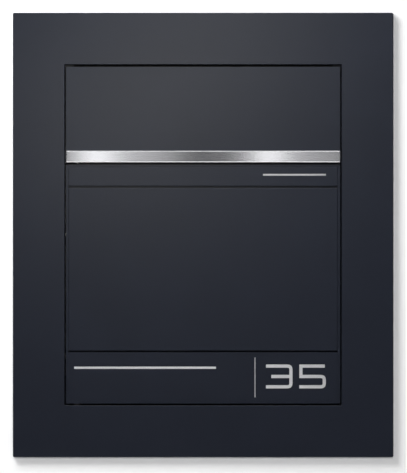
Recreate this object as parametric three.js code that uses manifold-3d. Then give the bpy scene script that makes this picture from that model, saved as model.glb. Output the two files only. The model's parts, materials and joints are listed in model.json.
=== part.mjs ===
// A flush wall mailbox. A folded steel housing sits in a recess of the wall, and a wide cover frame hides
// the recess. In the frame's opening a letter flap hangs on a rod along its top edge, with a stainless grip
// bar along its lower edge. Below it a removal door turns on two pivot pins at its left edge. A cam lock
// behind the flap holds the door shut.
//
// Units are millimetres. X runs to the right as seen from the street, Y into the wall and Z up.
// The origin is the centre of the front opening, on the wall's surface.
import * as THREE from "three";
import { mergeVertices } from "three/addons/utils/BufferGeometryUtils.js";
import Module from "manifold-3d";

const wasm = await Module();
wasm.setup();

// ---------------------------------------------------------------- driving dimensions

const FRAME = { halfX: 250, halfZ: 292, border: 68, depth: 16, sheet: 2, corner: 2 };
const OPENING = { halfX: FRAME.halfX - FRAME.border, halfZ: FRAME.halfZ - FRAME.border, corner: 1 };
const SHEET = 1.5; // every other folded sheet
const FIT = 0.3; // gap left around a piece that slides into or over another
const RUNNING = 0.06; // radial gap of a pin, bush or plug in its bore
const PAST = 5; // how far a cutting solid runs past what it cuts

const FRONT_Y = -FRAME.depth; // face of the frame, the flap and the door
const COLLAR_REAR_Y = 22; // rear edge of the frame's collar
const HOUSING = { rearY: 104, flange: 22, seam: 12 };

// The panel in the opening is the flap above and the door below.
const PANEL = {
  halfX: OPENING.halfX - 2,
  topZ: OPENING.halfZ - 3,
  bottomZ: -OPENING.halfZ + 2.5,
  corner: 2,
};
const BAR = { bottomZ: 95.5, height: 15, proud: 4, chamfer: 1, screwX: [-140, 0, 140], screwZ: 104 };
const FLAP = { bottomZ: 98, depth: 12, hingeY: -9, hingeZ: 211 };
const DOOR = { topZ: 92.6, depth: 14, rim: 3, pivotX: -165, pivotY: -9 };
const GROOVES = { nameTop: 64.3, nameBottom: 61.6, addressTop: -152.1, addressBottom: -154.1 };
const GUTTER = { name: 3, address: 7, wall: 1.2 }; // depth of the tray's folds behind the two grooves

const SLOT_PANEL = { y: 6, bottomZ: 90.5, flange: 14 };
const SLOT = { halfX: 165, bottomZ: 150, topZ: 190, corner: 4, lip: 6 };
const LOCK = { x: 150, z: 118, headR: 11, barrelR: 8, plugR: 6, rearY: 22 };
const CAM = { y: LOCK.rearY + FIT, sheet: 2, reach: 36, width: 14 };
const ROD_R = 2.5; // flap hinge rod and door pivot pins
const FRAME_SCREW = { y: 14, z: [160, 0, -160], headR: 3.8, headLength: 2.4, shankR: 2, length: 8 };

// ---------------------------------------------------------------- solids

// A closed three.js geometry as a manifold-3d solid.
function solid(geometry) {
  const bare = geometry.clone();
  bare.deleteAttribute("normal");
  bare.deleteAttribute("uv");
  const merged = mergeVertices(bare, 1e-4);
  return new wasm.Manifold(
    new wasm.Mesh({
      numProp: 3,
      vertProperties: merged.attributes.position.array,
      triVerts: new Uint32Array(merged.index.array),
    }),
  );
}

// A manifold-3d solid as a three.js geometry.
function geometryOf(body) {
  const mesh = body.getMesh();
  const positions = new Float32Array(mesh.numVert * 3);
  for (let i = 0; i < mesh.numVert; i++) {
    positions.set(mesh.vertProperties.subarray(i * mesh.numProp, i * mesh.numProp + 3), i * 3);
  }
  const geometry = new THREE.BufferGeometry();
  geometry.setAttribute("position", new THREE.BufferAttribute(positions, 3));
  geometry.setIndex(new THREE.BufferAttribute(mesh.triVerts, 1));
  geometry.computeVertexNormals();
  return geometry;
}

const cut = (body, ...tools) => tools.reduce((rest, tool) => rest.subtract(tool), body);
const join = (body, ...others) => others.reduce((sum, other) => sum.add(other), body);

// A box between two values on each axis, in either order.
function block(xs, ys, zs) {
  const sizes = [xs, ys, zs].map(([a, b]) => Math.abs(b - a));
  const middles = [xs, ys, zs].map(([a, b]) => (a + b) / 2);
  return solid(new THREE.BoxGeometry(...sizes).translate(...middles));
}

// For each extrusion axis: the directions that the outline's x, its y and the extrusion take.
const FRAMES = {
  X: [new THREE.Vector3(0, 1, 0), new THREE.Vector3(0, 0, 1), new THREE.Vector3(1, 0, 0)],
  Y: [new THREE.Vector3(1, 0, 0), new THREE.Vector3(0, 0, 1), new THREE.Vector3(0, -1, 0)],
  Z: [new THREE.Vector3(1, 0, 0), new THREE.Vector3(0, 1, 0), new THREE.Vector3(0, 0, 1)],
};

// An outline extruded between two values along an axis. Outlines are in (Y, Z) for X, (X, Z) for Y, (X, Y) for Z.
function extrude(axis, outline, [from, to]) {
  const geometry = new THREE.ExtrudeGeometry(outline, {
    depth: Math.abs(to - from),
    bevelEnabled: false,
    curveSegments: 4,
  });
  const start = axis === "Y" ? Math.max(from, to) : Math.min(from, to);
  const place = new THREE.Matrix4().makeBasis(...FRAMES[axis]);
  place.setPosition(axis === "X" ? start : 0, axis === "Y" ? start : 0, axis === "Z" ? start : 0);
  return solid(geometry.applyMatrix4(place));
}

// A cylinder of that radius along an axis, centred on the other two coordinates in X, Y, Z order.
function cylinder(axis, radius, [from, to], [a, b], segments = 20) {
  const geometry = new THREE.CylinderGeometry(radius, radius, Math.abs(to - from), segments);
  const middle = (from + to) / 2;
  if (axis === "X") geometry.rotateZ(-Math.PI / 2).translate(middle, a, b);
  if (axis === "Y") geometry.translate(a, middle, b);
  if (axis === "Z") geometry.rotateX(Math.PI / 2).translate(a, b, middle);
  return solid(geometry);
}

function rectangle([x0, x1], [z0, z1], radius = 0) {
  const shape = new THREE.Shape();
  if (!radius) return shape.moveTo(x0, z0).lineTo(x1, z0).lineTo(x1, z1).lineTo(x0, z1);
  shape.moveTo(x0 + radius, z0).lineTo(x1 - radius, z0);
  shape.absarc(x1 - radius, z0 + radius, radius, -Math.PI / 2, 0, false);
  shape.lineTo(x1, z1 - radius).absarc(x1 - radius, z1 - radius, radius, 0, Math.PI / 2, false);
  shape.lineTo(x0 + radius, z1).absarc(x0 + radius, z1 - radius, radius, Math.PI / 2, Math.PI, false);
  return shape.lineTo(x0, z0 + radius).absarc(x0 + radius, z0 + radius, radius, Math.PI, 1.5 * Math.PI, false);
}

// The outline of a strip of that thickness to the left of a polyline, with mitred corners.
function stripOutline(path, thickness) {
  const points = path.map(([x, y]) => new THREE.Vector2(x, y));
  const normals = points.slice(1).map((point, i) => {
    const along = point.clone().sub(points[i]).normalize();
    return new THREE.Vector2(-along.y, along.x);
  });
  const far = points.map((point, i) => {
    const before = normals[Math.max(i - 1, 0)];
    const after = normals[Math.min(i, normals.length - 1)];
    const mitre = before.clone().add(after).normalize();
    return point.clone().addScaledVector(mitre, thickness / mitre.dot(after));
  });
  return new THREE.Shape([...points, ...far.reverse()]);
}

// A folded tray with its open side towards the wall: a front sheet and a return along each edge.
function pan(xs, zs, depth, corner) {
  const inside = ([low, high]) => [low + SHEET, high - SHEET];
  const outer = extrude("Y", rectangle(xs, zs, corner), [FRONT_Y, FRONT_Y + depth]);
  const hollow = block(inside(xs), [FRONT_Y + SHEET, FRONT_Y + depth + PAST], inside(zs));
  return cut(outer, hollow);
}

// A round-headed fastener along an axis. The head starts at `seat` and grows against `way`, the shank with it.
function fastener(axis, centre, seat, way, { headR, headLength, shankR, length }) {
  const head = cylinder(axis, headR, [seat, seat - way * headLength], centre);
  const shank = cylinder(axis, shankR, [seat - (way * headLength) / 2, seat + way * length], centre, 16);
  return join(head, shank);
}

// ---------------------------------------------------------------- materials

const finish = (color, roughness, metalness) =>
  new THREE.MeshStandardMaterial({ color, roughness, metalness });
const POWDER_COAT = finish(0x2c3036, 0.42, 0.35);
const STAINLESS = finish(0xb9babf, 0.25, 1.0);
const GALVANISED = finish(0x9a9ea2, 0.5, 0.85);
const ZINC = finish(0xa9abad, 0.35, 0.95);
const BRASS = finish(0xb5a36a, 0.3, 1.0);
const NYLON = finish(0x1b1c1e, 0.5, 0.0);
const RUBBER = finish(0x17181a, 0.85, 0.0);

const mailbox = new THREE.Group();
function add(name, body, material) {
  const mesh = new THREE.Mesh(geometryOf(body), material);
  mesh.name = name;
  mailbox.add(mesh);
}

// ---------------------------------------------------------------- cover frame and housing

const SIDES = { left: -1, right: 1 };
const COLLAR = { halfX: OPENING.halfX + SHEET, halfZ: OPENING.halfZ + SHEET };
const SHELL = { innerX: COLLAR.halfX + FIT, innerZ: COLLAR.halfZ + FIT };
SHELL.outerX = SHELL.innerX + SHEET;
SHELL.outerZ = SHELL.innerZ + SHEET;

const frameScrewHole = (side, z) =>
  cylinder("X", FRAME_SCREW.shankR + FIT, [side * (PANEL.halfX - PAST), side * (SHELL.outerX + PAST)], [
    FRAME_SCREW.y,
    z,
  ]);
const frameScrewHoles = (side) => FRAME_SCREW.z.map((z) => frameScrewHole(side, z));

// A wide flat border, folded back around its outer edge, with a collar that runs back from the opening.
function coverFrame() {
  const wide = [-FRAME.halfX, FRAME.halfX];
  const high = [-FRAME.halfZ, FRAME.halfZ];
  const inset = ([low, high_]) => [low + FRAME.sheet, high_ - FRAME.sheet];
  const outer = extrude("Y", rectangle(wide, high, FRAME.corner), [FRONT_Y, 0]);
  const channel = block(inset(wide), [FRONT_Y + FRAME.sheet, PAST], inset(high));
  const collar = block([-COLLAR.halfX, COLLAR.halfX], [FRONT_Y, COLLAR_REAR_Y], [-COLLAR.halfZ, COLLAR.halfZ]);
  const opening = extrude(
    "Y",
    rectangle([-OPENING.halfX, OPENING.halfX], [-OPENING.halfZ, OPENING.halfZ], OPENING.corner),
    [FRONT_Y - PAST, COLLAR_REAR_Y + PAST],
  );
  const pivotHole = cylinder("Z", ROD_R + FIT, [-COLLAR.halfZ - PAST, -OPENING.halfZ + PAST], [
    DOOR.pivotX,
    DOOR.pivotY,
  ]);
  const holes = Object.values(SIDES).flatMap(frameScrewHoles);
  return cut(join(cut(outer, channel), collar), opening, pivotHole, ...holes);
}

// A bead pressed into a sheet towards the inside: the raised part to add and the channel to cut behind it.
const BEAD = { width: 16, rise: 2, round: 0.49, backHalf: 120, sideHalf: 150, y: 62 };
const BEAD_CHANNEL = BEAD.width - SHEET;
const BACK_BEAD_Z = [-130, -65, 65, 130];

// Bottom, back and top of the housing in one bent sheet, with plaster flanges at its front edges.
function housingWrap() {
  const wide = [-SHELL.outerX, SHELL.outerX];
  const flangeX = SHELL.outerX + HOUSING.flange;
  const back = block(wide, [HOUSING.rearY - SHEET, HOUSING.rearY], [-SHELL.outerZ, SHELL.outerZ]);
  const walls = [-1, 1].flatMap((end) => [
    block(wide, [-SHEET, HOUSING.rearY], [end * SHELL.innerZ, end * SHELL.outerZ]),
    block([-flangeX, flangeX], [-SHEET, 0], [end * SHELL.innerZ, end * (SHELL.outerZ + HOUSING.flange)]),
  ]);
  const wallFixings = [-140, 140].flatMap((x) =>
    [-180, 180].map((z) => cylinder("Y", 4, [HOUSING.rearY - PAST, HOUSING.rearY + PAST], [x, z])),
  );
  const beadAt = (z, width, ys) => {
    const reach = BEAD.backHalf + width / 2;
    return extrude("Y", rectangle([-reach, reach], [z - width / 2, z + width / 2], width * BEAD.round), ys);
  };
  const inner = HOUSING.rearY - SHEET;
  const beads = BACK_BEAD_Z.map((z) => beadAt(z, BEAD.width, [inner - BEAD.rise, inner + SHEET / 2]));
  const channels = BACK_BEAD_Z.map((z) => beadAt(z, BEAD_CHANNEL, [HOUSING.rearY - BEAD.rise, HOUSING.rearY + PAST]));
  const drains = [-100, 0, 100].map((x) =>
    cylinder("Z", 3, [-SHELL.outerZ - PAST, -SHELL.innerZ + PAST], [x, BEAD.y], 16),
  );
  return cut(join(back, ...walls, ...beads), ...channels, ...wallFixings, ...drains);
}

// A side wall with a plaster flange at its front and seam flanges along the wrap's three walls.
function housingSide(side) {
  const high = [-COLLAR.halfZ, COLLAR.halfZ];
  const seamX = [side * (SHELL.innerX - HOUSING.seam), side * SHELL.outerX];
  const rear = HOUSING.rearY - SHEET - FIT;
  const wall = block([side * SHELL.innerX, side * SHELL.outerX], [-SHEET, rear], high);
  const plaster = block([side * SHELL.innerX, side * (SHELL.outerX + HOUSING.flange)], [-SHEET, 0], high);
  const rearSeam = block(seamX, [rear - SHEET, rear], high);
  const endSeams = [-1, 1].map((end) =>
    block(seamX, [COLLAR_REAR_Y + 2, rear], [end * COLLAR.halfZ, end * (COLLAR.halfZ - SHEET)]),
  );
  const beadAt = (width, xs) => {
    const reach = BEAD.sideHalf + width / 2;
    return extrude("X", rectangle([BEAD.y - width / 2, BEAD.y + width / 2], [-reach, reach], width * BEAD.round), xs);
  };
  const bead = beadAt(BEAD.width, [side * (SHELL.innerX - BEAD.rise), side * (SHELL.innerX + SHEET / 2)]);
  const channel = beadAt(BEAD_CHANNEL, [side * (SHELL.outerX - BEAD.rise), side * (SHELL.outerX + PAST)]);
  return cut(join(wall, plaster, rearSeam, ...endSeams, bead), channel, ...frameScrewHoles(side));
}

function frameScrew(side, z) {
  const onCollar = side < 0 && z < SLOT_PANEL.bottomZ;
  const seat = onCollar ? OPENING.halfX : OPENING.halfX - FIT - SHEET;
  return fastener("X", [FRAME_SCREW.y, z], side * seat, side, FRAME_SCREW);
}

add("cover_frame", coverFrame(), POWDER_COAT);
add("housing_wrap", housingWrap(), GALVANISED);
for (const [name, side] of Object.entries(SIDES)) {
  add(`housing_side_${name}`, housingSide(side), GALVANISED);
  FRAME_SCREW.z.forEach((z, i) => add(`frame_screw_${name}_${i + 1}`, frameScrew(side, z), ZINC));
}

// ---------------------------------------------------------------- letter slot, baffle and retainer

const INNER_X = OPENING.halfX - FIT; // outer faces of what is fitted inside the collar
const BRACKET = { innerX: 172, outerX: 174, footX: 156, footSheet: 1.5, eyeR: 5, bottomZ: 194 };
const BRACKET_SCREW = { headR: 2.8, headLength: 1.6, shankR: 1.5, length: 5 };
const bracketScrewPlaces = (side) => [198, 206].map((z) => [side * 162, z]);

const HINGE_NOTCH_WIDTH = 32;

// The fixed panel behind the flap, with the letter slot and the hole for the lock. It reaches down behind the
// door's top edge, apart from a notch where the door's hinge side swings inwards.
function slotPanel() {
  const top = OPENING.halfZ - FIT;
  const ys = [SLOT_PANEL.y, SLOT_PANEL.y + SHEET];
  const flangeY = [SLOT_PANEL.y, SLOT_PANEL.y + SLOT_PANEL.flange];
  const high = [SLOT_PANEL.bottomZ, top];
  const sheet = block([-INNER_X, INNER_X], ys, high);
  const sideFlanges = [-1, 1].map((side) => block([side * INNER_X, side * (INNER_X - SHEET)], flangeY, high));
  const topFlange = block([-INNER_X, INNER_X], flangeY, [top - SHEET, top]);
  const bottomFlange = block([-INNER_X, INNER_X], [SLOT_PANEL.y, SLOT_PANEL.y + 10], [
    SLOT_PANEL.bottomZ,
    SLOT_PANEL.bottomZ + SHEET,
  ]);
  const lip = block([-SLOT.halfX, SLOT.halfX], [SLOT_PANEL.y, SLOT_PANEL.y + SLOT.lip], [
    SLOT.bottomZ - SHEET,
    SLOT.bottomZ,
  ]);
  const slot = extrude(
    "Y",
    rectangle([-SLOT.halfX, SLOT.halfX], [SLOT.bottomZ, SLOT.topZ], SLOT.corner),
    [SLOT_PANEL.y - PAST, SLOT_PANEL.y + SLOT.lip + PAST],
  );
  const through = [SLOT_PANEL.y - PAST, SLOT_PANEL.y + SHEET + PAST];
  const lockHole = cylinder("Y", LOCK.barrelR + FIT, through, [LOCK.x, LOCK.z], 32);
  const hingeNotch = block([-INNER_X - PAST, -INNER_X + HINGE_NOTCH_WIDTH], [SLOT_PANEL.y - PAST, SLOT_PANEL.y + SLOT_PANEL.flange + PAST], [
    SLOT_PANEL.bottomZ - PAST,
    DOOR.topZ + 2.5,
  ]);
  const screwHoles = Object.values(SIDES).flatMap((side) => [
    frameScrewHole(side, FRAME_SCREW.z[0]),
    ...bracketScrewPlaces(side).map((place) => cylinder("Y", BRACKET_SCREW.shankR + FIT, through, place)),
  ]);
  return cut(join(sheet, ...sideFlanges, topFlange, bottomFlange, lip), slot, lockHole, hingeNotch, ...screwHoles);
}

// A sloping sheet behind the slot. It turns letters downwards and keeps hands out.
function letterBaffle() {
  const front = SLOT_PANEL.y + SHEET;
  const path = [
    [front, 212],
    [front, 195],
    [60, 140],
    [60, 130],
  ];
  return extrude("X", stripOutline(path, SHEET), [-158, 158]);
}

// A low sheet behind the door's foot, which keeps letters in when the door opens.
function letterRetainer() {
  const floor = -OPENING.halfZ + FIT;
  const path = [
    [COLLAR_REAR_Y, floor],
    [10, floor],
    [10, -185],
    [16, -185],
  ];
  return extrude("X", stripOutline([...path].reverse(), SHEET), [-INNER_X, 179.5]);
}

// A rubber strip on the slot panel, behind the gap over the flap.
const topSeal = () => block([-170, 170], [SLOT_PANEL.y - 2.4, SLOT_PANEL.y], [217, OPENING.halfZ - 0.5]);

add("slot_panel", slotPanel(), POWDER_COAT);
add("flap_top_seal", topSeal(), RUBBER);
add("letter_baffle", letterBaffle(), POWDER_COAT);
add("letter_retainer", letterRetainer(), POWDER_COAT);

// ---------------------------------------------------------------- flap and its hinge

const FLAP_REAR_Y = FRONT_Y + FLAP.depth;
const BUSH_WALL = 1;
const BUSH_R = ROD_R + RUNNING + BUSH_WALL; // outside of every nylon bush
const NOTCH = 4; // half width of the top return's notch around a hinge bracket

function flapPan() {
  const xs = [-PANEL.halfX, PANEL.halfX];
  const behindFace = [FRONT_Y + SHEET, FLAP_REAR_Y + PAST];
  const bracketMiddle = (BRACKET.innerX + BRACKET.outerX) / 2;
  const notches = Object.values(SIDES).map((side) =>
    block([side * (bracketMiddle - NOTCH), side * (bracketMiddle + NOTCH)], behindFace, [
      PANEL.topZ - SHEET - 1,
      PANEL.topZ + PAST,
    ]),
  );
  const pivotNotch = block([-PANEL.halfX - PAST, DOOR.pivotX + 9], behindFace, [
    FLAP.bottomZ - PAST,
    FLAP.bottomZ + SHEET + 1,
  ]);
  const hinge = cylinder("X", BUSH_R + RUNNING, [-PANEL.halfX - PAST, PANEL.halfX + PAST], [FLAP.hingeY, FLAP.hingeZ]);
  const screws = BAR.screwX.map((x) =>
    cylinder("Y", BRACKET_SCREW.shankR + FIT, [FRONT_Y - PAST, FRONT_Y + PAST], [x, BAR.screwZ]),
  );
  const body = pan(xs, [FLAP.bottomZ, PANEL.topZ], FLAP.depth, PANEL.corner);
  return cut(body, ...notches, pivotNotch, hinge, ...screws);
}

// A flat bar with chamfered front edges, screwed on from behind.
function gripBar() {
  const [front, rear, c] = [FRONT_Y - BAR.proud, FRONT_Y, BAR.chamfer];
  const [low, high] = [BAR.bottomZ, BAR.bottomZ + BAR.height];
  const section = new THREE.Shape();
  section.moveTo(rear, low).lineTo(rear, high).lineTo(front + c, high).lineTo(front, high - c);
  section.lineTo(front, low + c).lineTo(front + c, low);
  const plan = new THREE.Shape();
  plan.moveTo(-PANEL.halfX, rear).lineTo(-PANEL.halfX, front + c).lineTo(-PANEL.halfX + c, front);
  plan.lineTo(PANEL.halfX - c, front).lineTo(PANEL.halfX, front + c).lineTo(PANEL.halfX, rear);
  const bar = extrude("X", section, [-PANEL.halfX, PANEL.halfX]).intersect(extrude("Z", plan, [low, high]));
  const holes = BAR.screwX.map((x) =>
    cylinder("Y", BRACKET_SCREW.shankR + FIT, [FRONT_Y - 2.8, FRONT_Y + PAST], [x, BAR.screwZ]),
  );
  return cut(bar, ...holes);
}

const gripBarScrew = (x) =>
  fastener("Y", [x, BAR.screwZ], FRONT_Y + SHEET, -1, { ...BRACKET_SCREW, length: 4 });

// A nylon bush in the flap's side return, with its flange on the inner side.
function flapBush(side) {
  const centre = [FLAP.hingeY, FLAP.hingeZ];
  const ear = PANEL.halfX - SHEET;
  const body = cylinder("X", BUSH_R, [side * (ear - 1.5), side * (PANEL.halfX + 0.5)], centre);
  const flange = cylinder("X", BUSH_R + 1.2, [side * (ear - 1.5), side * (ear - FIT)], centre);
  const bore = cylinder("X", ROD_R + RUNNING, [side * (ear - PAST), side * (PANEL.halfX + PAST)], centre);
  return cut(join(body, flange), bore);
}

const hingeRod = () =>
  cylinder("X", ROD_R, [-PANEL.halfX - 0.5, PANEL.halfX + 0.5], [FLAP.hingeY, FLAP.hingeZ], 24);

// An angle that carries the rod: an ear beside the flap's return and a foot on the slot panel.
function flapHingeBracket(side) {
  const [y, z, eyeR] = [FLAP.hingeY, FLAP.hingeZ, BRACKET.eyeR];
  const outline = new THREE.Shape();
  outline.moveTo(SLOT_PANEL.y, BRACKET.bottomZ).lineTo(SLOT_PANEL.y, z + eyeR).lineTo(y, z + eyeR);
  outline.absarc(y, z, eyeR, Math.PI / 2, 1.2 * Math.PI, false).lineTo(-3, BRACKET.bottomZ);
  const ear = extrude("X", outline, [side * BRACKET.innerX, side * BRACKET.outerX]);
  const footY = [SLOT_PANEL.y - BRACKET.footSheet, SLOT_PANEL.y];
  const foot = block([side * BRACKET.footX, side * BRACKET.outerX], footY, [BRACKET.bottomZ, z + eyeR]);
  const rodHole = cylinder("X", ROD_R + FIT, [side * (BRACKET.innerX - PAST), side * (BRACKET.outerX + PAST)], [
    FLAP.hingeY,
    FLAP.hingeZ,
  ]);
  const screwHoles = bracketScrewPlaces(side).map((place) =>
    cylinder("Y", BRACKET_SCREW.shankR + FIT, [SLOT_PANEL.y - PAST, SLOT_PANEL.y + PAST], place),
  );
  return cut(join(ear, foot), rodHole, ...screwHoles);
}

// An open retaining ring on the rod, outside the bracket.
function rodClip(side) {
  const xs = [side * (BRACKET.outerX + FIT), side * (BRACKET.outerX + FIT + 0.8)];
  const centre = [FLAP.hingeY, FLAP.hingeZ];
  const ring = cut(cylinder("X", 5, xs, centre), cylinder("X", ROD_R + FIT, [xs[0] - PAST, xs[1] + PAST], centre));
  const mouth = block([xs[0] - PAST, xs[1] + PAST], [FLAP.hingeY - 2, FLAP.hingeY + 2], [FLAP.hingeZ - 8, FLAP.hingeZ]);
  return cut(ring, mouth);
}

const flapBuffer = (side) =>
  cylinder("Y", 4, [FLAP_REAR_Y + FIT, SLOT_PANEL.y], [side * 120, FLAP.bottomZ + 3.5]);

add("flap_pan", flapPan(), POWDER_COAT);
add("grip_bar", gripBar(), STAINLESS);
BAR.screwX.forEach((x, i) => add(`grip_bar_screw_${i + 1}`, gripBarScrew(x), ZINC));
add("flap_hinge_rod", hingeRod(), ZINC);
for (const [name, side] of Object.entries(SIDES)) {
  add(`flap_bush_${name}`, flapBush(side), NYLON);
  add(`flap_hinge_bracket_${name}`, flapHingeBracket(side), ZINC);
  add(`rod_clip_${name}`, rodClip(side), ZINC);
  add(`flap_buffer_${name}`, flapBuffer(side), RUBBER);
  bracketScrewPlaces(side).forEach((place, i) =>
    add(
      `bracket_screw_${name}_${i + 1}`,
      fastener("Y", place, SLOT_PANEL.y - BRACKET.footSheet, 1, BRACKET_SCREW),
      ZINC,
    ),
  );
}

// ---------------------------------------------------------------- door and its front plates

const PLATE_REAR_Y = FRONT_Y + SHEET;
const FLOOR_REAR_Y = PLATE_REAR_Y + SHEET;
const DOOR_REAR_Y = FRONT_Y + DOOR.depth;
const PLATE_HALF_X = PANEL.halfX - DOOR.rim - FIT;
const STUD = { r: 1.5, rearY: -6, x: [-120, 120] };
const NAME_Z = [GROOVES.nameTop, DOOR.topZ - DOOR.rim - FIT];
const FACE_Z = [GROOVES.addressTop, GROOVES.nameBottom];
const ADDRESS_Z = [PANEL.bottomZ + DOOR.rim + FIT, GROOVES.addressBottom];
const studPlaces = ([low, high]) => STUD.x.map((x) => [x, (low + high) / 2]);
const PIVOT = [DOOR.pivotX, DOOR.pivotY];

// The door's tray. Its front sheet is set back by one sheet, so that the plates lie flush inside its rims.
// Behind each groove between the plates the sheet is folded back into a gutter.
function doorTray() {
  const xs = [-PANEL.halfX, PANEL.halfX];
  const zs = [PANEL.bottomZ, DOOR.topZ];
  const inset = ([low, high], by) => [low + by, high - by];
  const outer = extrude("Y", rectangle(xs, zs, PANEL.corner), [FRONT_Y, DOOR_REAR_Y]);
  const pocket = block(inset(xs, DOOR.rim), [FRONT_Y - PAST, PLATE_REAR_Y], inset(zs, DOOR.rim));
  const hollow = block(inset(xs, SHEET), [FLOOR_REAR_Y, DOOR_REAR_Y + PAST], inset(zs, SHEET));
  const gutters = [
    { high: [GROOVES.nameBottom, GROOVES.nameTop], rear: PLATE_REAR_Y + GUTTER.name },
    { high: [GROOVES.addressBottom, GROOVES.addressTop], rear: PLATE_REAR_Y + GUTTER.address },
  ];
  const folds = gutters.map(({ high, rear }) => block(xs, [PLATE_REAR_Y, rear], inset(high, -GUTTER.wall)));
  const channels = gutters.map(({ high, rear }) =>
    block(inset(xs, DOOR.rim), [PLATE_REAR_Y - PAST, rear - GUTTER.wall], high),
  );
  const bushHoles = zs.map((z) => cylinder("Z", BUSH_R + RUNNING, [z - PAST, z + PAST], PIVOT));
  const studHoles = [...studPlaces(NAME_Z), ...studPlaces(ADDRESS_Z)].map((place) =>
    cylinder("Y", STUD.r + FIT, [FRONT_Y, FLOOR_REAR_Y + 1], place),
  );
  return cut(join(cut(outer, pocket, hollow), ...folds), ...channels, ...bushHoles, ...studHoles);
}

const frontPlate = (zs) => block([-PLATE_HALF_X, PLATE_HALF_X], [FRONT_Y, PLATE_REAR_Y], zs);
const studdedPlate = (zs) =>
  join(frontPlate(zs), ...studPlaces(zs).map((place) => cylinder("Y", STUD.r, [PLATE_REAR_Y - 0.5, STUD.rearY], place)));

function plateNut(place) {
  const ys = [FLOOR_REAR_Y, FLOOR_REAR_Y + 2.4];
  return cut(cylinder("Y", 3.2, ys, place, 6), cylinder("Y", STUD.r + FIT, [ys[0] - PAST, ys[1] + PAST], place));
}

// A hat section across the tray's back.
function doorStiffener() {
  const crest = FLOOR_REAR_Y + 8;
  const path = [
    [FLOOR_REAR_Y, -20],
    [FLOOR_REAR_Y, -32],
    [crest, -36],
    [crest, -56],
    [FLOOR_REAR_Y, -60],
    [FLOOR_REAR_Y, -72],
  ];
  return extrude("X", stripOutline(path, SHEET), [-160, 160]);
}

// A channel on the tray's back. Its rear lip stands behind the locked cam, which stops the door from opening.
function doorStrike() {
  const sheet = 2;
  const lipRear = CAM.y + CAM.sheet + 0.7 + sheet;
  const path = [
    [FLOOR_REAR_Y, 90],
    [FLOOR_REAR_Y, 72],
    [lipRear, 72],
    [lipRear, 91],
  ];
  return extrude("X", stripOutline(path, sheet), [LOCK.x - 12, LOCK.x + 12]);
}

// A nylon bush in the tray's end return, with its flange on the outer side. `end` is 1 above and -1 below.
function doorBush(end) {
  const face = end > 0 ? DOOR.topZ : PANEL.bottomZ;
  const body = cylinder("Z", BUSH_R, [face - end * 8, face + end * 0.5], PIVOT);
  const flange = cylinder("Z", 6, [face, face + end], PIVOT);
  const bore = cylinder("Z", ROD_R + RUNNING, [face - end * 20, face + end * PAST], PIVOT);
  return cut(join(body, flange), bore);
}

add("door_tray", doorTray(), POWDER_COAT);
add("name_plate", studdedPlate(NAME_Z), POWDER_COAT);
add("door_face_plate", frontPlate(FACE_Z), POWDER_COAT);
add("address_plate", studdedPlate(ADDRESS_Z), POWDER_COAT);
studPlaces(NAME_Z).forEach((place, i) => add(`name_plate_nut_${i + 1}`, plateNut(place), ZINC));
studPlaces(ADDRESS_Z).forEach((place, i) => add(`address_plate_nut_${i + 1}`, plateNut(place), ZINC));
add("door_stiffener", doorStiffener(), GALVANISED);
add("door_strike", doorStrike(), ZINC);
add("door_bush_upper", doorBush(1), NYLON);
add("door_bush_lower", doorBush(-1), NYLON);

// ---------------------------------------------------------------- inlays on the plates

const INLAY_Y = [FRONT_Y - 0.5, FRONT_Y];
const rule = (xs, zs) => block(xs, INLAY_Y, zs);

const DIGIT = { width: 35, height: 31.5, stroke: 4.3, bottomZ: -201.7, tensX: 82.6, unitsX: 126.4, corner: 7 };

// A stroke through rounded corners, as a flat outline in a digit's own width and height.
function stroke(points) {
  const path = new THREE.Path();
  path.moveTo(...points[0]);
  for (let i = 1; i < points.length - 1; i++) {
    const corner = new THREE.Vector2(...points[i]);
    const towards = (other) => {
      const way = new THREE.Vector2(...other).sub(corner);
      return corner.clone().addScaledVector(way.clone().normalize(), Math.min(DIGIT.corner, way.length() / 2));
    };
    const [enter, leave] = [towards(points[i - 1]), towards(points[i + 1])];
    path.lineTo(enter.x, enter.y).quadraticCurveTo(corner.x, corner.y, leave.x, leave.y);
  }
  path.lineTo(...points.at(-1));
  return stripOutline(
    path.getPoints(5).map((point) => [point.x, point.y]),
    DIGIT.stroke,
  );
}

const DIGIT_MIDDLE = (DIGIT.height + DIGIT.stroke) / 2; // upper edge of the middle bar

// A three: the outer bow, drawn with its stroke to the inside, and the middle bar.
function digitThree() {
  const { width: w, height: h } = DIGIT;
  const bow = stroke([
    [0, 0],
    [w, 0],
    [w, h],
    [0, h],
  ]);
  const bar = rectangle([w * 0.2, w - DIGIT.stroke / 2], [DIGIT_MIDDLE - DIGIT.stroke, DIGIT_MIDDLE]);
  return join(extrude("Y", bow, INLAY_Y), extrude("Y", bar, INLAY_Y));
}

// A five: the lower bow up to the middle bar, the left upright and the top bar.
function digitFive() {
  const { width: w, height: h, stroke: s } = DIGIT;
  const bow = stroke([
    [0, 0],
    [w, 0],
    [w, DIGIT_MIDDLE],
    [0, DIGIT_MIDDLE],
  ]);
  const upright = rectangle([0, s], [DIGIT_MIDDLE - s, h]);
  const topBar = rectangle([0, w * 0.96], [h - s, h]);
  return join(...[bow, upright, topBar].map((outline) => extrude("Y", outline, INLAY_Y)));
}

const digitAt = (body, x) => body.translate([x, 0, DIGIT.bottomZ]);

add("name_rule", rule([78.7, 161.5], [77.8, 80.3]), STAINLESS);
add("address_rule", rule([-169.5, 17], [-176, -173]), STAINLESS);
add("divider_rule", rule([67.7, 68.7], [-213.5, -161]), STAINLESS);
add("house_number_tens", digitAt(digitThree(), DIGIT.tensX), STAINLESS);
add("house_number_units", digitAt(digitFive(), DIGIT.unitsX), STAINLESS);

// ---------------------------------------------------------------- door stop, seal and pivots

const STOP = { y: 2.5, innerX: 167, topZ: 90, bottomZ: -222 };

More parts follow.
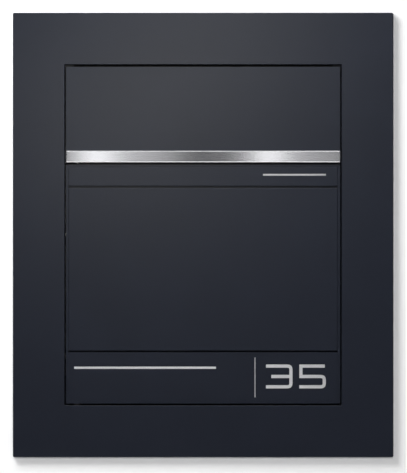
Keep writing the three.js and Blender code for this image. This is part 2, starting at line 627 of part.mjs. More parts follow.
// An angle along the collar's right side, behind the door's free edge.
function doorStopStrip() {
  const high = [STOP.bottomZ, STOP.topZ];
  const face = block([STOP.innerX, INNER_X], [STOP.y, STOP.y + SHEET], high);
  const leg = block([INNER_X - SHEET, INNER_X], [STOP.y, SLOT_PANEL.y + SLOT_PANEL.flange], high);
  return cut(join(face, leg), frameScrewHole(1, FRAME_SCREW.z[1]), frameScrewHole(1, FRAME_SCREW.z[2]));
}

// A rubber strip with a rounded face on the stop.
function doorSeal() {
  const outline = new THREE.Shape();
  outline.moveTo(170, STOP.y).lineTo(170, 0.8).quadraticCurveTo(170.4, DOOR_REAR_Y + FIT, 174, DOOR_REAR_Y + FIT);
  outline.quadraticCurveTo(177.6, DOOR_REAR_Y + FIT, 178, 0.8).lineTo(178, STOP.y);
  return extrude("Z", outline, [STOP.bottomZ + 6, STOP.topZ - 2]);
}

const PIVOT_BRACKET = { bottomZ: 95.2, topZ: 97.2, sheet: 2, reachX: -159, earTopZ: 118 };

// An angle on the collar's left side that holds the upper pivot pin over the door.
function doorPivotBracket() {
  const ear = block([-INNER_X, -INNER_X + PIVOT_BRACKET.sheet], [-2.5, SLOT_PANEL.y - 0.5], [
    PIVOT_BRACKET.bottomZ,
    PIVOT_BRACKET.earTopZ,
  ]);
  const shelf = block([-INNER_X, PIVOT_BRACKET.reachX], [-13, SLOT_PANEL.y - 0.5], [
    PIVOT_BRACKET.bottomZ,
    PIVOT_BRACKET.topZ,
  ]);
  const hole = cylinder("Z", ROD_R + FIT, [PIVOT_BRACKET.bottomZ - PAST, PIVOT_BRACKET.topZ + PAST], PIVOT);
  return cut(join(ear, shelf), hole);
}

const upperPin = () =>
  join(
    cylinder("Z", ROD_R, [DOOR.topZ - 10, PIVOT_BRACKET.topZ + 1], PIVOT),
    cylinder("Z", 4.2, [PIVOT_BRACKET.topZ, PIVOT_BRACKET.topZ + 1.4], PIVOT),
  );
const lowerPin = () => cylinder("Z", ROD_R, [-COLLAR.halfZ, PANEL.bottomZ + 11], PIVOT);
const lowerWasher = () =>
  cut(
    cylinder("Z", 6.5, [-OPENING.halfZ, PANEL.bottomZ - 1], PIVOT),
    cylinder("Z", ROD_R + FIT, [-OPENING.halfZ - PAST, PANEL.bottomZ + PAST], PIVOT),
  );

add("door_stop_strip", doorStopStrip(), POWDER_COAT);
add("door_seal", doorSeal(), RUBBER);
add("door_pivot_bracket", doorPivotBracket(), POWDER_COAT);
add("door_pivot_pin_upper", upperPin(), ZINC);
add("door_pivot_pin_lower", lowerPin(), ZINC);
add("door_pivot_washer", lowerWasher(), NYLON);

// ---------------------------------------------------------------- lock

const LOCK_AT = [LOCK.x, LOCK.z];
const CAM_SCREW = { headR: 4.5, headLength: 2.5, shankR: 2, length: 8 };

// The fixed barrel, with its head on the slot panel's front.
function lockBarrel() {
  const head = cylinder("Y", LOCK.headR, [SLOT_PANEL.y - 3, SLOT_PANEL.y], LOCK_AT, 32);
  const barrel = cylinder("Y", LOCK.barrelR, [SLOT_PANEL.y - 1, LOCK.rearY], LOCK_AT, 32);
  return cut(join(head, barrel), cylinder("Y", LOCK.plugR + RUNNING, [0, LOCK.rearY + PAST], LOCK_AT, 32));
}

function lockNut() {
  const ys = [SLOT_PANEL.y + SHEET, SLOT_PANEL.y + SHEET + 4];
  return cut(
    cylinder("Y", LOCK.headR + 1, ys, LOCK_AT, 6),
    cylinder("Y", LOCK.barrelR + FIT, [ys[0] - PAST, ys[1] + PAST], LOCK_AT, 32),
  );
}

// The turning plug, with a key slot in front and a screw hole behind.
function lockPlug() {
  const body = cylinder("Y", LOCK.plugR, [SLOT_PANEL.y - 3.3, LOCK.rearY], LOCK_AT, 32);
  const keySlot = block([LOCK.x - 4, LOCK.x + 4], [0, 13], [LOCK.z - 0.8, LOCK.z + 0.8]);
  const screwHole = cylinder("Y", CAM_SCREW.shankR + FIT, [15, LOCK.rearY + PAST], LOCK_AT);
  return cut(body, keySlot, screwHole);
}

// The cam in its open position, level with the lock.
function lockCam() {
  const half = CAM.width / 2;
  const outline = new THREE.Shape();
  outline.absarc(LOCK.x, LOCK.z, half, -Math.PI / 2, Math.PI / 2, false);
  outline.absarc(LOCK.x - CAM.reach + half, LOCK.z, half, Math.PI / 2, 1.5 * Math.PI, false);
  const ys = [CAM.y, CAM.y + CAM.sheet];
  return cut(
    extrude("Y", outline, ys),
    cylinder("Y", CAM_SCREW.shankR + FIT, [ys[0] - PAST, ys[1] + PAST], LOCK_AT),
  );
}

const camScrew = () => fastener("Y", LOCK_AT, CAM.y + CAM.sheet, -1, CAM_SCREW);

add("lock_barrel", lockBarrel(), ZINC);
add("lock_nut", lockNut(), ZINC);
add("lock_plug", lockPlug(), BRASS);
add("lock_cam", lockCam(), ZINC);
add("cam_screw", camScrew(), ZINC);

export default mailbox;
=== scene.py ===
"""The looks of a flush wall mailbox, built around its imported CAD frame.

The CAD nodes keep their shapes. Modifiers round their edges, and they get procedural materials. The
fasteners, buffers and lock get finely modelled pieces that stand for their plain CAD solids.

Sizes of pieces are in millimetres. Material scales, the stage, the lights and the camera are in metres.
X points right, Y into the wall and Z up.
"""

import json
import math

import bmesh
import bpy
from mathutils import Matrix, Vector

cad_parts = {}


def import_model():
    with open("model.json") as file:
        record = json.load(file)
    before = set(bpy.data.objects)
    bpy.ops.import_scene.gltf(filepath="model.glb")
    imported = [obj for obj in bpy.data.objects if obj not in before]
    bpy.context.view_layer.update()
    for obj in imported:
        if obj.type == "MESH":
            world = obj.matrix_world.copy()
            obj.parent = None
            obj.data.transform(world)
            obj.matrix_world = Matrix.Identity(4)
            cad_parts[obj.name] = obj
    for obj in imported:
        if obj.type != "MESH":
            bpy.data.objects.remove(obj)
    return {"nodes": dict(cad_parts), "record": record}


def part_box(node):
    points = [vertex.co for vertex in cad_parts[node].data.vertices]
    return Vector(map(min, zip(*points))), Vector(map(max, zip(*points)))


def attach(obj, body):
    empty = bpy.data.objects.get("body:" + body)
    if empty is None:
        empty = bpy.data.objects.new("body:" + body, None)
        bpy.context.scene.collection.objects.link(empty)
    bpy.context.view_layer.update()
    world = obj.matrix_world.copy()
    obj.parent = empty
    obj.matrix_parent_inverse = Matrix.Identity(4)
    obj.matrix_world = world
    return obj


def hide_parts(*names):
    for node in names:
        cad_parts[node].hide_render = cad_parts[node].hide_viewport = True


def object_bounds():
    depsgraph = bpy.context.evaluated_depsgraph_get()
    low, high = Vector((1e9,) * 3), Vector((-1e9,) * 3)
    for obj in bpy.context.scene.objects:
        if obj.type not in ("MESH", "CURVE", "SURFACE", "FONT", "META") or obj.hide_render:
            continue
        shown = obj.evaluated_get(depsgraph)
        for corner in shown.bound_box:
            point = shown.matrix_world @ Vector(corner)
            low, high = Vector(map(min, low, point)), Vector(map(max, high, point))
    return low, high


MM = 0.001

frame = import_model()
cad_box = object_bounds()
nodes = frame["nodes"]
slot_of = {part["node"]: part["material_slot"] for part in frame["record"]["subparts"]}
scene = bpy.context.scene


# ---------------------------------------------------------------- materials


class Graph:
    """A material's node tree. Each method adds a node and returns its output socket."""

    def __init__(self, name, color, roughness, metallic=0.0, **fixed):
        self.material = bpy.data.materials.new(name)
        self.material.use_nodes = True
        self.tree = self.material.node_tree
        self.bsdf = self.tree.nodes["Principled BSDF"]
        self.set("Base Color", (*color, 1.0))
        self.set("Roughness", roughness)
        self.set("Metallic", metallic)
        for socket, value in fixed.items():
            self.set(socket.replace("_", " "), value)

    def set(self, socket, value):
        """Sets one of the shader's own sockets to a value, or links an output to it."""
        target = self.bsdf.inputs[socket]
        if isinstance(value, bpy.types.NodeSocket):
            self.tree.links.new(value, target)
        else:
            target.default_value = value

    def add(self, kind, inputs, **settings):
        """Adds a node. `inputs` are values or links for its sockets, `settings` its own properties."""
        node = self.tree.nodes.new(kind)
        for name, value in settings.items():
            setattr(node, name, value)
        for key, value in inputs.items():
            if isinstance(value, bpy.types.NodeSocket):
                self.tree.links.new(value, node.inputs[key])
            else:
                node.inputs[key].default_value = value
        return node

    def place(self, stretch=(1.0, 1.0, 1.0)):
        """The point on the piece in metres, stretched along each axis."""
        point = self.add("ShaderNodeTexCoord", {}).outputs["Object"]
        mapping = self.add("ShaderNodeMapping", {"Vector": point, "Scale": stretch})
        return mapping.outputs["Vector"]

    def noise(self, size, detail=2.0, stretch=(1.0, 1.0, 1.0), roughness=0.5):
        """Noise whose features are about that size in metres before stretching."""
        inputs = {"Vector": self.place(stretch), "Scale": 1 / size}
        inputs.update({"Detail": detail, "Roughness": roughness})
        return self.add("ShaderNodeTexNoise", inputs).outputs["Fac"]

    def cells(self, size):
        """A random colour for each cell of about that size in metres."""
        inputs = {"Vector": self.place(), "Scale": 1 / size}
        return self.add("ShaderNodeTexVoronoi", inputs).outputs["Color"]

    def spread(self, value, low, high):
        """Turns a value between 0 and 1 into one between low and high."""
        inputs = {"Value": value, "To Min": low, "To Max": high}
        return self.add("ShaderNodeMapRange", inputs).outputs["Result"]

    def ramp(self, value, *stops):
        """A colour that depends on a value. A stop is (position, colour)."""
        node = self.add("ShaderNodeValToRGB", {"Fac": value})
        elements = node.color_ramp.elements
        while len(elements) < len(stops):
            elements.new(0.5)
        for element, (position, color) in zip(elements, stops):
            element.position = position
            element.color = (*color, 1.0)
        return node.outputs["Color"]

    def bump(self, height, depth, normal=None):
        """A bump of that depth in metres, on top of another bump if one is given."""
        inputs = {"Height": height, "Distance": depth, "Strength": 1.0}
        if normal is not None:
            inputs["Normal"] = normal
        return self.add("ShaderNodeBump", inputs).outputs["Normal"]


def powder_coat():
    """Anthracite fine-texture powder coat: a satin film with a very fine orange peel."""
    graph = Graph("powder_coat", (0.030, 0.037, 0.060), 0.38, Specular_IOR_Level=0.4)
    tone = graph.noise(0.09, detail=3.0)
    shades = (0.3, (0.0285, 0.0352, 0.057)), (0.7, (0.0315, 0.0388, 0.063))
    graph.set("Base Color", graph.ramp(tone, *shades))
    graph.set("Roughness", graph.spread(graph.noise(0.004, detail=3.0), 0.36, 0.40))
    peel = graph.bump(graph.noise(0.0011, detail=1.0), 0.00002)
    graph.set("Normal", graph.bump(graph.noise(0.00035, detail=1.0), 0.000006, normal=peel))
    return graph.material


def brushed_stainless():
    """Stainless steel brushed along X."""
    graph = Graph("brushed_stainless", (0.62, 0.62, 0.64), 0.24, metallic=1.0, Anisotropic=0.5)
    graph.set("Anisotropic Rotation", 0.25)  # a quarter turn
    grain = graph.noise(0.0004, detail=4.0, stretch=(0.012, 1.0, 1.0), roughness=0.65)
    graph.set("Base Color", graph.ramp(grain, (0.25, (0.59, 0.59, 0.61)), (0.75, (0.66, 0.66, 0.68))))
    graph.set("Roughness", graph.spread(grain, 0.21, 0.28))
    graph.set("Normal", graph.bump(grain, 0.0000018))
    return graph.material


def inlay_stainless_painted_sheen():
    """Stainless for the thin rules and digits, with a grain too fine to break them up. Its colour is
    painted near white and half matt: a painted sheen in the place of the strokes' reflection.
    """
    graph = Graph("inlay_stainless_painted_sheen", (0.92, 0.92, 0.93), 0.5, metallic=0.5)
    grain = graph.noise(0.0012, detail=3.0, stretch=(0.05, 1.0, 1.0))
    graph.set("Base Color", graph.ramp(grain, (0.3, (0.91, 0.91, 0.92)), (0.7, (0.95, 0.95, 0.96))))
    graph.set("Roughness", graph.spread(grain, 0.46, 0.54))
    graph.set("Normal", graph.bump(grain, 0.000001))
    return graph.material


def galvanised():
    """Hot-dip galvanised sheet with small spangles."""
    graph = Graph("galvanised", (0.42, 0.44, 0.46), 0.42, metallic=0.9)
    spangle = graph.add("ShaderNodeSeparateColor", {"Color": graph.cells(0.007)}).outputs["Red"]
    fine = graph.noise(0.003, detail=4.0)
    graph.set("Base Color", graph.ramp(spangle, (0.0, (0.40, 0.415, 0.435)), (1.0, (0.55, 0.565, 0.58))))
    mixed = graph.add("ShaderNodeMath", {0: spangle, 1: fine}, operation="MULTIPLY").outputs[0]
    graph.set("Roughness", graph.spread(mixed, 0.40, 0.56))
    graph.set("Normal", graph.bump(fine, 0.00002))
    return graph.material


def zinc():
    """Bright zinc plating, slightly cloudy."""
    graph = Graph("zinc_plate", (0.55, 0.56, 0.58), 0.3, metallic=1.0)
    cloud = graph.noise(0.005, detail=4.0)
    graph.set("Base Color", graph.ramp(cloud, (0.3, (0.50, 0.52, 0.55)), (0.7, (0.62, 0.61, 0.58))))
    graph.set("Roughness", graph.spread(cloud, 0.24, 0.40))
    graph.set("Normal", graph.bump(graph.noise(0.0006, detail=3.0), 0.00001))
    return graph.material


def brass():
    """Turned brass, dulled a little."""
    graph = Graph("turned_brass", (0.66, 0.50, 0.22), 0.28, metallic=1.0)
    cloud = graph.noise(0.003, detail=4.0)
    graph.set("Base Color", graph.ramp(cloud, (0.3, (0.56, 0.41, 0.17)), (0.7, (0.70, 0.55, 0.27))))
    graph.set("Roughness", graph.spread(cloud, 0.22, 0.36))
    graph.set("Normal", graph.bump(graph.noise(0.0004, detail=2.0), 0.000006))
    return graph.material


def nylon():
    """Black moulded nylon."""
    graph = Graph("moulded_nylon", (0.018, 0.019, 0.021), 0.5)
    graph.set("Roughness", graph.spread(graph.noise(0.002, detail=3.0), 0.42, 0.58))
    graph.set("Normal", graph.bump(graph.noise(0.0005, detail=3.0), 0.00001))
    return graph.material


def rubber():
    """Matt black rubber."""
    graph = Graph("matt_rubber", (0.011, 0.011, 0.012), 0.7, Specular_IOR_Level=0.4)
    graph.set("Roughness", graph.spread(graph.noise(0.003, detail=4.0), 0.6, 0.85))
    graph.set("Normal", graph.bump(graph.noise(0.0007, detail=4.0), 0.00003))
    return graph.material


MATERIALS = {
    "powder_coat": powder_coat(),
    "stainless": brushed_stainless(),
    "galvanised": galvanised(),
    "zinc": zinc(),
    "brass": brass(),
    "nylon": nylon(),
    "rubber": rubber(),
}
# The rules and digits get a painted sheen: a near-white, half-matt colour in the place of reflection.
INLAY = inlay_stainless_painted_sheen()
INLAYS = ("name_rule", "address_rule", "divider_rule", "house_number_tens", "house_number_units")

# ---------------------------------------------------------------- CAD nodes

EDGE_RADIUS = {
    "cover_frame": 0.7,
    "flap_pan": 0.68,
    "door_tray": 1.2,
    "door_face_plate": 0.7,
    "name_plate": 0.6,
    "address_plate": 0.5,
    "grip_bar": 0.35,
    "house_number_tens": 0.15,
    "house_number_units": 0.15,
    "name_rule": 0.15,
    "address_rule": 0.15,
    "divider_rule": 0.15,
}
DEFAULT_RADIUS = 0.25  # for the nodes that EDGE_RADIUS doesn't name
UNCLAMPED = ("cover_frame", "name_plate")  # a clamped bevel would stop at their shortest edge
BEVEL_SEGMENTS = 3
WELD_DISTANCE = 0.002  # joins the CAD mesh's doubled corners
FLAT_WITHIN = 1  # degrees between faces that are merged into one
EDGE_FROM = 35  # degrees from which an edge is rounded


def round_edges(node, radius):
    """Rounds a CAD node's edges with modifiers, which leave its own mesh as it is."""
    mesh = node.data
    if "custom_normal" in mesh.attributes:
        mesh.attributes.remove(mesh.attributes["custom_normal"])
    mesh.polygons.foreach_set("use_smooth", [True] * len(mesh.polygons))
    weld = node.modifiers.new("weld", "WELD")
    weld.merge_threshold = WELD_DISTANCE * MM
    flat = node.modifiers.new("flat", "DECIMATE")
    flat.decimate_type = "DISSOLVE"
    flat.angle_limit = math.radians(FLAT_WITHIN)
    bevel = node.modifiers.new("round", "BEVEL")
    bevel.width = radius * MM
    bevel.segments = BEVEL_SEGMENTS
    bevel.limit_method = "ANGLE"
    bevel.angle_limit = math.radians(EDGE_FROM)
    bevel.use_clamp_overlap = node.name not in UNCLAMPED
    bevel.harden_normals = True


for name, node in nodes.items():
    round_edges(node, EDGE_RADIUS.get(name, DEFAULT_RADIUS))
    node.data.materials.clear()
    node.data.materials.append(INLAY if name in INLAYS else MATERIALS[slot_of[name]])

# ---------------------------------------------------------------- fine pieces

fine_pieces = []
TINY = 1e-6  # keeps a division by a sine or cosine finite


def register(piece, slot, body, *stands_for):
    """Gives a fine piece its finish and body, and hides the plain CAD nodes that it stands for."""
    piece.data.materials.append(MATERIALS[slot])
    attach(piece, body)
    if stands_for:
        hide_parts(*stands_for)
    fine_pieces.append(piece)


# An outline is a function from an angle about the axis to a radius.


def circle(radius):
    return lambda angle: radius


def hexagon(half_flats):
    """A hexagon by half of its width across the flats."""
    step = math.pi / 3
    return lambda angle: half_flats / math.cos(angle % step - step / 2)


def six_lobes(radius):
    """A six-lobe drive recess, by the radius to the tips of its lobes."""
    wave = 0.14
    return lambda angle: radius * (1 - wave + wave * math.cos(6 * angle))


def cross(reach, half_width):
    """A cross recess, with its arms along the two axes."""

    def radius(angle):
        off = angle % (math.pi / 2)
        off = min(off, math.pi / 2 - off)
        return min(reach / math.cos(off), half_width / max(math.sin(off), TINY))

    return radius


def keyway(half_length, half_width):
    """A rectangle, long along the first axis."""

    def radius(angle):
        along, across = abs(math.cos(angle)), abs(math.sin(angle))
        return min(half_length / max(along, TINY), half_width / max(across, TINY))

    return radius


def within(outline, limit):
    """An outline cut back to a circle, for the chamfer of a nut."""
    return lambda angle: min(outline(angle), limit)


def quarter_turn(steps):
    """(1 - cosine, sine) at equal steps of a quarter turn, for a rounded shoulder."""
    turns = [math.pi / 2 * step / steps for step in range(1, steps + 1)]
    return [(1 - math.cos(turn), math.sin(turn)) for turn in turns]


def turned_rings(work, rings, place, segments, closed=False):
    """Adds a lofted solid to a bmesh.

    A ring is (height, outline), and None as an outline is a point on the axis. A closed band also joins
    its last ring to its first.
    """
    loops = []
    for height, outline in rings:
        if outline is None:
            loops.append([work.verts.new(place @ Vector((0, 0, height * MM)))])
            continue
        loop = []
        for i in range(segments):
            angle = 2 * math.pi * i / segments
            r = outline(angle) * MM
            point = Vector((r * math.cos(angle), r * math.sin(angle), height * MM))
            loop.append(work.verts.new(place @ point))
        loops.append(loop)
    pairs = list(zip(loops, loops[1:])) + ([(loops[-1], loops[0])] if closed else [])
    for low, high in pairs:
        for i in range(segments):
            j = (i + 1) % segments
            corners = [low[i % len(low)], low[j % len(low)], high[j % len(high)], high[i % len(high)]]
            work.faces.new(list(dict.fromkeys(corners)))


def piece_from(name, work, crease=30):
    """Turns a bmesh into an object, smooth but for edges sharper than `crease` degrees."""
    bmesh.ops.recalc_face_normals(work, faces=work.faces)
    for face in work.faces:
        face.smooth = True
    for edge in work.edges:
        edge.smooth = edge.calc_face_angle(0.0) < math.radians(crease)
    mesh = bpy.data.meshes.new(name)
    work.to_mesh(mesh)
    work.free()
    piece = bpy.data.objects.new(name, mesh)
    scene.collection.objects.link(piece)
    return piece


WAYS = {
    "+X": (1, 0, 0),
    "-X": (-1, 0, 0),
    "+Y": (0, 1, 0),
    "-Y": (0, -1, 0),
    "+Z": (0, 0, 1),
    "-Z": (0, 0, -1),
}


def turn_to(way):
    """The rotation that takes Z to `way`."""
    return Vector(WAYS[way]).to_track_quat("Z", "Y").to_matrix().to_4x4()


def seat_of(node, way):
    """Where a turned piece starts in a CAD node's box.

    Gives the frame there with Z along `way`, and the box's length along it and half width across it.
    """
    low, high = (Vector(corner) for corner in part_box(node))
    along = Vector(WAYS[way])
    axis = max(range(3), key=lambda i: abs(along[i]))
    start = (low + high) / 2
    start[axis] = low[axis] if along[axis] > 0 else high[axis]
    size = high - low
    others = [size[i] for i in range(3) if i != axis]
    return Matrix.Translation(start) @ turn_to(way), size[axis] / MM, max(others) / 2 / MM


def turned(node, way, slot, body, rings, segments=64, closed=False):
    """A turned piece that stands for a CAD node. `rings` takes the node's length and half width."""
    place, length, radius = seat_of(node, way)
    work = bmesh.new()
    turned_rings(work, rings(length, radius), place, segments, closed)
    register(piece_from(f"{node}_fine", work), slot, body, node)


def thread_rings(start, end, pitch, radius, root):
    """Plain ridges in the place of a thread. `root` is the share of the radius left between them."""
    made, at = [], start
    while at + pitch < end:
        made += [(at, circle(radius)), (at + pitch / 2, circle(radius * root))]
        at += pitch
    return made


def screw_rings(head, shank, recess, depth, pitch):
    """A pan head with a drive recess and a threaded shank that ends in a chamfer."""
    flat_top = 0.66  # share of the head's radius
    shoulder = 0.62  # share of the head's height
    edge, tip = 0.12, 0.5

    def rings(length, radius):
        made = [(depth, None), (depth, recess(0.72)), (0.08, recess(0.96)), (0, recess(1.0))]
        made += [(0, circle(radius * flat_top))]
        for drop, out in quarter_turn(6):
            made.append((head * shoulder * drop, circle(radius * (flat_top + (1 - flat_top) * out))))
        made += [(head - edge, circle(radius)), (head, circle(radius - edge))]
        made += [(head, circle(shank))]
        made += thread_rings(head + pitch / 2, length - tip, pitch, shank, 0.84)
        return made + [(length - tip, circle(shank)), (length, circle(shank * 0.7)), (length, None)]

    return rings


def six_lobe_screw(head, shank, size, pitch=0.7):
    """Head height, shank radius, drive radius and thread pitch."""
    return screw_rings(head, shank, lambda k: six_lobes(size * k), head * 0.62, pitch)


def cross_screw(head, shank, size, pitch=0.5):
    """Head height, shank radius, drive reach and thread pitch."""
    arm = size * 0.24
    return screw_rings(head, shank, lambda k: cross(size * k, arm * k), head * 0.7, pitch)


for side, way in (("left", "-X"), ("right", "+X")):
    for i in (1, 2, 3):
        turned(f"frame_screw_{side}_{i}", way, "zinc", "housing", six_lobe_screw(2.4, 2.0, 1.75))
    for i in (1, 2):
        turned(f"bracket_screw_{side}_{i}", "+Y", "zinc", "housing", cross_screw(1.6, 1.5, 1.5))
for i in (1, 2, 3):
    turned(f"grip_bar_screw_{i}", "-Y", "zinc", "flap", cross_screw(1.6, 1.5, 1.5))
turned("cam_screw", "-Y", "zinc", "lock", cross_screw(2.5, 2.0, 2.6, 0.7))


def nut_rings(bore):
    """A hexagon nut with both faces chamfered, as a closed band around its bore."""
    chamfer = 0.25  # of the bore

    def rings(length, radius):
        half_flats = radius * math.cos(math.pi / 6)
        hexa = hexagon(half_flats)
        face, corner, edge = half_flats * 0.96, radius * 0.985, length * 0.14
        return [
            (chamfer, circle(bore)),
            (0, circle(bore + chamfer)),
            (0, within(hexa, face)),
            (edge, within(hexa, corner)),
            (length - edge, within(hexa, corner)),
            (length, within(hexa, face)),
            (length, circle(bore + chamfer)),
            (length - chamfer, circle(bore)),
        ]

    return rings


for plate in ("name_plate", "address_plate"):
    for i in (1, 2):
        turned(f"{plate}_nut_{i}", "+Y", "zinc", "door", nut_rings(1.55), 72, closed=True)
turned("lock_nut", "+Y", "zinc", "housing", nut_rings(8.05), 96, closed=True)


def buffer_rings(length, radius):
    """A stick-on rubber buffer: a wide foot on the slot panel and a domed top."""
    dome_height, dome_radius = length * 0.45, radius * 0.86
    made = [(0, None)]
    made += [(dome_height * drop, circle(dome_radius * out)) for drop, out in quarter_turn(8)]
    return made + [
        (length * 0.75, circle(radius * 0.9)),
        (length * 0.88, circle(radius)),
        (length, circle(radius)),
        (length, None),
    ]


for side in ("left", "right"):
    turned(f"flap_buffer_{side}", "+Y", "rubber", "housing", buffer_rings)


def barrel_rings(length, radius):
    """The lock's barrel: a rounded rosette, then a threaded sleeve, hollow for the plug."""
    head, sleeve, bore = 3.0, 8.0, 6.06
    groove = 0.35  # a turned ring in the rosette
    shoulder_height, shoulder_width = 1.5, 1.6
    edge, tip, pitch = 0.2, 0.6, 1.0
    made = [(0.3, circle(bore)), (0, circle(bore + 0.3))]
    made += [(0, circle(bore + 1.0)), (groove, circle(bore + 1.15))]
    made += [(groove, circle(bore + 1.6)), (0, circle(bore + 1.8))]
    made += [(0, circle(radius - shoulder_width))]
    for drop, out in quarter_turn(6):
        made.append((shoulder_height * drop, circle(radius - shoulder_width * (1 - out))))
    made += [(head - edge, circle(radius)), (head, circle(radius - edge)), (head, circle(sleeve))]
    made += thread_rings(head + tip, length - 1.0, pitch, sleeve, 0.94)
    made += [(length - tip, circle(sleeve)), (length, circle(sleeve - tip))]
    return made + [(length, circle(bore))]


turned("lock_barrel", "+Y", "zinc", "housing", barrel_rings, 96, closed=True)


def plug_rings(length, radius):
    """The plug: a turned face with a recessed keyway."""
    depth, chamfer = 13, 0.35
    slot = keyway(4.0, 0.8)
    mouth = keyway(4.0 + chamfer, 0.8 + chamfer)
    groove = 0.2  # a turned ring in the face
    play, tip = 0.1, 0.4
    made = [(depth, None), (depth, slot), (chamfer, slot), (0, mouth)]
    made += [(0, circle(radius - 1.1)), (groove, circle(radius - 0.95))]
    made += [(groove, circle(radius - 0.75)), (0, circle(radius - 0.6))]
    made += [(0.25, circle(radius - play)), (length - tip, circle(radius - play))]
    return made + [(length, circle(radius - play - tip)), (length, None)]


turned("lock_plug", "+Y", "brass", "lock", plug_rings, 128)


WELD = {"radius": 3.0, "height": 0.6, "sink": 0.1, "segments": 24}
SEAM = {
    "flange": 22,  # width of the flange at the front of the housing's side
    "inset": 7,  # from the side's face to the row of welds in the back
    "cover": 1.8,  # from the side's edge to the outer face of the bent sheet
    "end": 20,  # from the side's ends to the first and last weld in the back
    "count": 8,
    "depths": (38, 60, 84),  # of the welds in the top and bottom
}


def spaced(low, high, count):
    return [low + (high - low) * i / (count - 1) for i in range(count)]


def housing_welds():
    """Spot welds, as shallow pressed rings, where the housing's sides meet its bent sheet."""
    radius, height = WELD["radius"], WELD["height"]
    rings = [(-WELD["sink"], circle(radius)), (height * 0.6, circle(radius * 0.94))]
    rings += [(height, circle(radius * 0.8)), (height * 0.2, circle(radius * 0.5)), (height * 0.1, None)]
    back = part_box("housing_wrap")[1][1] / MM
    low, high = (Vector(corner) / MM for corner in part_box("housing_side_right"))
    seam_x = high.x - SEAM["flange"] - SEAM["inset"]
    places = []
    for x in (-seam_x, seam_x):
        heights = spaced(low.z + SEAM["end"], high.z - SEAM["end"], SEAM["count"])
        places += [(x, back, z, "+Y") for z in heights]
        for z, way in ((high.z + SEAM["cover"], "+Z"), (low.z - SEAM["cover"], "-Z")):
            places += [(x, y, z, way) for y in SEAM["depths"]]
    work = bmesh.new()
    for x, y, z, way in places:
        place = Matrix.Translation(Vector((x, y, z)) * MM) @ turn_to(way)
        turned_rings(work, rings, place, WELD["segments"])
    register(piece_from("housing_spot_welds", work), "galvanised", "housing")


housing_welds()

# ---------------------------------------------------------------- stage

WALL_HOLE = (0.212, 0.254)  # half sizes of the recess, hidden behind the cover frame
WALL_HALF = 2.6
FLOOR_HALF = 6.0
FLOOR_Z = -1.0


def plain_mesh(name, vertices, faces, material):
    mesh = bpy.data.meshes.new(name)
    mesh.from_pydata(vertices, [], faces)
    mesh.materials.append(material)
    piece = bpy.data.objects.new(name, mesh)
    scene.collection.objects.link(piece)
    return piece


def one_sided(graph, shader):
    """Makes a stage material show only its front, so that the mailbox can be seen from behind it."""
    behind = graph.add("ShaderNodeNewGeometry", {}).outputs["Backfacing"]
    clear = graph.add("ShaderNodeBsdfTransparent", {}).outputs["BSDF"]
    mix = graph.add("ShaderNodeMixShader", {0: behind, 1: shader, 2: clear})
    graph.tree.links.new(mix.outputs[0], graph.tree.nodes["Material Output"].inputs["Surface"])
    return graph.material


def wall_paint():
    """Matt off-white wall paint."""
    graph = Graph("wall_paint", (0.86, 0.86, 0.86), 0.9, Specular_IOR_Level=0.1)
    return one_sided(graph, graph.bsdf.outputs["BSDF"])


def wall():
    """A wall with a recess hole, as a ring of four faces that look towards -Y."""
    (hx, hz), w = WALL_HOLE, WALL_HALF
    outer = [(-w, 0, FLOOR_Z), (w, 0, FLOOR_Z), (w, 0, w), (-w, 0, w)]
    inner = [(-hx, 0, -hz), (hx, 0, -hz), (hx, 0, hz), (-hx, 0, hz)]
    faces = [(i, (i + 1) % 4, (i + 1) % 4 + 4, i + 4) for i in range(4)]
    return plain_mesh("stage_wall", outer + inner, faces, wall_paint())


def floor_paint():
    """A pale floor to the camera, which sends little light up to the object."""
    graph = Graph("floor_paint", (0.7, 0.7, 0.7), 0.7, Specular_IOR_Level=0.2)
    seen = graph.add("ShaderNodeLightPath", {}).outputs["Is Camera Ray"]
    pale = graph.add("ShaderNodeEmission", {"Color": (0.70, 0.70, 0.71, 1)}).outputs["Emission"]
    mix = graph.add("ShaderNodeMixShader", {0: seen, 1: graph.bsdf.outputs["BSDF"], 2: pale})
    return one_sided(graph, mix.outputs[0])


def floor():
    s = FLOOR_HALF
    corners = [(-s, -s, FLOOR_Z), (s, -s, FLOOR_Z), (s, s, FLOOR_Z), (-s, s, FLOOR_Z)]
    return plain_mesh("stage_floor", corners, [(0, 1, 2, 3)], floor_paint())


stage_wall = wall()
floor()

# ---------------------------------------------------------------- lights


def collection_of(name, members):
    group = bpy.data.collections.new(name)
    for member in members:
        group.objects.link(member)
    return group


def area_light(name, location, target, size, power, only, blockers=None, tilt=0.0, color=(1, 1, 1)):
    """A soft rectangular light, unseen by the camera. `tilt` turns it about its own axis, in degrees.

    `only` is the collection of the objects that it lights, and `blockers` of those that shade it.
    """
    data = bpy.data.lights.new(name, "AREA")
    data.shape = "RECTANGLE"
    data.size, data.size_y = size
    data.energy = power
    data.color = color
    light = bpy.data.objects.new(name, data)
    scene.collection.objects.link(light)
    light.location = location
    aim = (Vector(target) - Vector(location)).to_track_quat("-Z", "Y").to_matrix()
    light.rotation_euler = (aim @ Matrix.Rotation(math.radians(tilt), 3, "Z")).to_euler()
    light.visible_camera = False
    light.light_linking.receiver_collection = only
    if blockers is not None:
        light.light_linking.blocker_collection = blockers


metal_names = [name for name, slot in slot_of.items() if slot == "stainless"]
metals = collection_of("lit_as_metal", [nodes[name] for name in metal_names])
wall_only = collection_of("lit_as_wall", [stage_wall])
coated_nodes = [node for name, node in nodes.items() if name not in metal_names]
coated = collection_of("lit_as_object", coated_nodes + fine_pieces)

# The photo's wall is bright and its coat dark, so the wall, the coated pieces and the stainless steel
# each have lights of their own.
area_light("wall_key", (-0.86, -1.5, 1.18), (-0.86, 0, 1.18), (1.1, 1.4), 54, wall_only)
area_light("wall_fill", (0.12, -5.0, 0.25), (0, 0, 0), (0.8, 0.8), 120, wall_only)

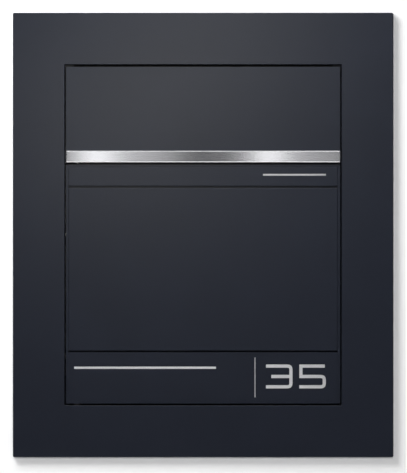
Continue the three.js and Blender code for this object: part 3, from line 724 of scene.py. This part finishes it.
WARM = (1.0, 0.97, 0.89)
SOFT_KEY = {"tilt": 40, "color": WARM}
area_light("soft_key", (-0.05, -0.9, 0.25), (-0.05, 0, 0.25), (0.42, 0.14), 1.14, coated, **SOFT_KEY)
area_light("side_fill", (-1.6, -1.0, 1.0), (0, 0, 0), (1.2, 1.2), 1.02, coated, color=WARM)
area_light("top_key", (-0.1, -0.75, 1.1), (0, 0, 0.1), (0.9, 0.4), 7.5, coated)
area_light("back_fill", (1.2, 1.8, 1.0), (0, 0, 0), (1.2, 1.2), 24, coated, blockers=coated)
area_light("back_key", (-1.0, 2.2, 1.6), (0, 0, 0), (1.4, 1.4), 22, coated, blockers=coated)

area_light("bar_front", (0.0, -3.0, 0.0), (0, 0, 0), (2.0, 2.0), 0.4, metals)
area_light("bar_above", (0.0, -0.06, 0.7), (0, -0.02, 0), (1.2, 0.5), 4, metals)
area_light("bar_below", (0.0, -0.06, -0.7), (0, -0.02, 0), (1.2, 0.5), 4, metals)
# Each upright lamp makes a bright band in the grip bar. The powers come from a least-squares fit of the
# lamps to the photo's colours, made by a scratch program; report.md says so too.
BAR_LAMP_Y = -0.42
for name, x, width, power in (
    ("bar_left", -0.149, 0.035, 0.235),
    ("bar_left_wide", -0.085, 0.10, 0.133),
    ("bar_right", 0.09, 0.03, 0.225),
    ("bar_right_wide", 0.165, 0.08, 0.083),
):
    area_light(name, (x, BAR_LAMP_Y, 0.0), (x, 0, 0.0), (width, 0.8), power, metals)

WORLD = {
    "street": (0.02, 0.021, 0.023, 1),  # its light from in front of the wall
    "behind": (0.28, 0.285, 0.30, 1),  # and from behind it
    "seen": (0.86, 0.86, 0.87, 1),
    "fade": (0.15, -0.55),  # the directions' Y between which one turns into the other
}


def world():
    """A pale studio to the camera. As light it is dim from the street, so that flat fronts stay dark."""
    made = bpy.data.worlds.new("studio")
    made.use_nodes = True
    tree = made.node_tree
    link = tree.links.new
    direction = tree.nodes.new("ShaderNodeSeparateXYZ")
    link(tree.nodes.new("ShaderNodeTexCoord").outputs["Generated"], direction.inputs[0])
    to_street = tree.nodes.new("ShaderNodeMapRange")
    to_street.interpolation_type = "SMOOTHSTEP"
    for end, y in zip(("From Min", "From Max"), WORLD["fade"]):
        to_street.inputs[end].default_value = y
    link(direction.outputs["Y"], to_street.inputs["Value"])
    light = tree.nodes.new("ShaderNodeMix")
    light.data_type = "RGBA"
    light.inputs["A"].default_value = WORLD["behind"]
    light.inputs["B"].default_value = WORLD["street"]
    link(to_street.outputs["Result"], light.inputs["Factor"])
    shown = tree.nodes.new("ShaderNodeMix")
    shown.data_type = "RGBA"
    shown.inputs["B"].default_value = WORLD["seen"]
    link(tree.nodes.new("ShaderNodeLightPath").outputs["Is Camera Ray"], shown.inputs["Factor"])
    link(light.outputs["Result"], shown.inputs["A"])
    link(shown.outputs["Result"], tree.nodes["Background"].inputs["Color"])
    scene.world = made


world()
scene.view_settings.view_transform = "Standard"

# ---------------------------------------------------------------- camera

CAMERA = {
    "distance": 9.0,  # from the object's front
    "centre": (0.00055, -0.00206),  # X and Z
    "view_height": 0.6213,  # that the picture shows at that distance
    "sensor": 36.0,  # millimetres, along the picture's longer side, its height
}


def camera():
    """A long lens square on to the front, as in the photo."""
    data = bpy.data.cameras.new("camera")
    data.sensor_width = CAMERA["sensor"]
    data.lens = CAMERA["sensor"] * CAMERA["distance"] / CAMERA["view_height"]
    data.clip_end = 40
    made = bpy.data.objects.new("camera", data)
    scene.collection.objects.link(made)
    x, z = CAMERA["centre"]
    made.location = (x, cad_box[0].y - CAMERA["distance"], z)
    made.rotation_euler = (math.radians(90), 0, 0)
    scene.camera = made


camera()
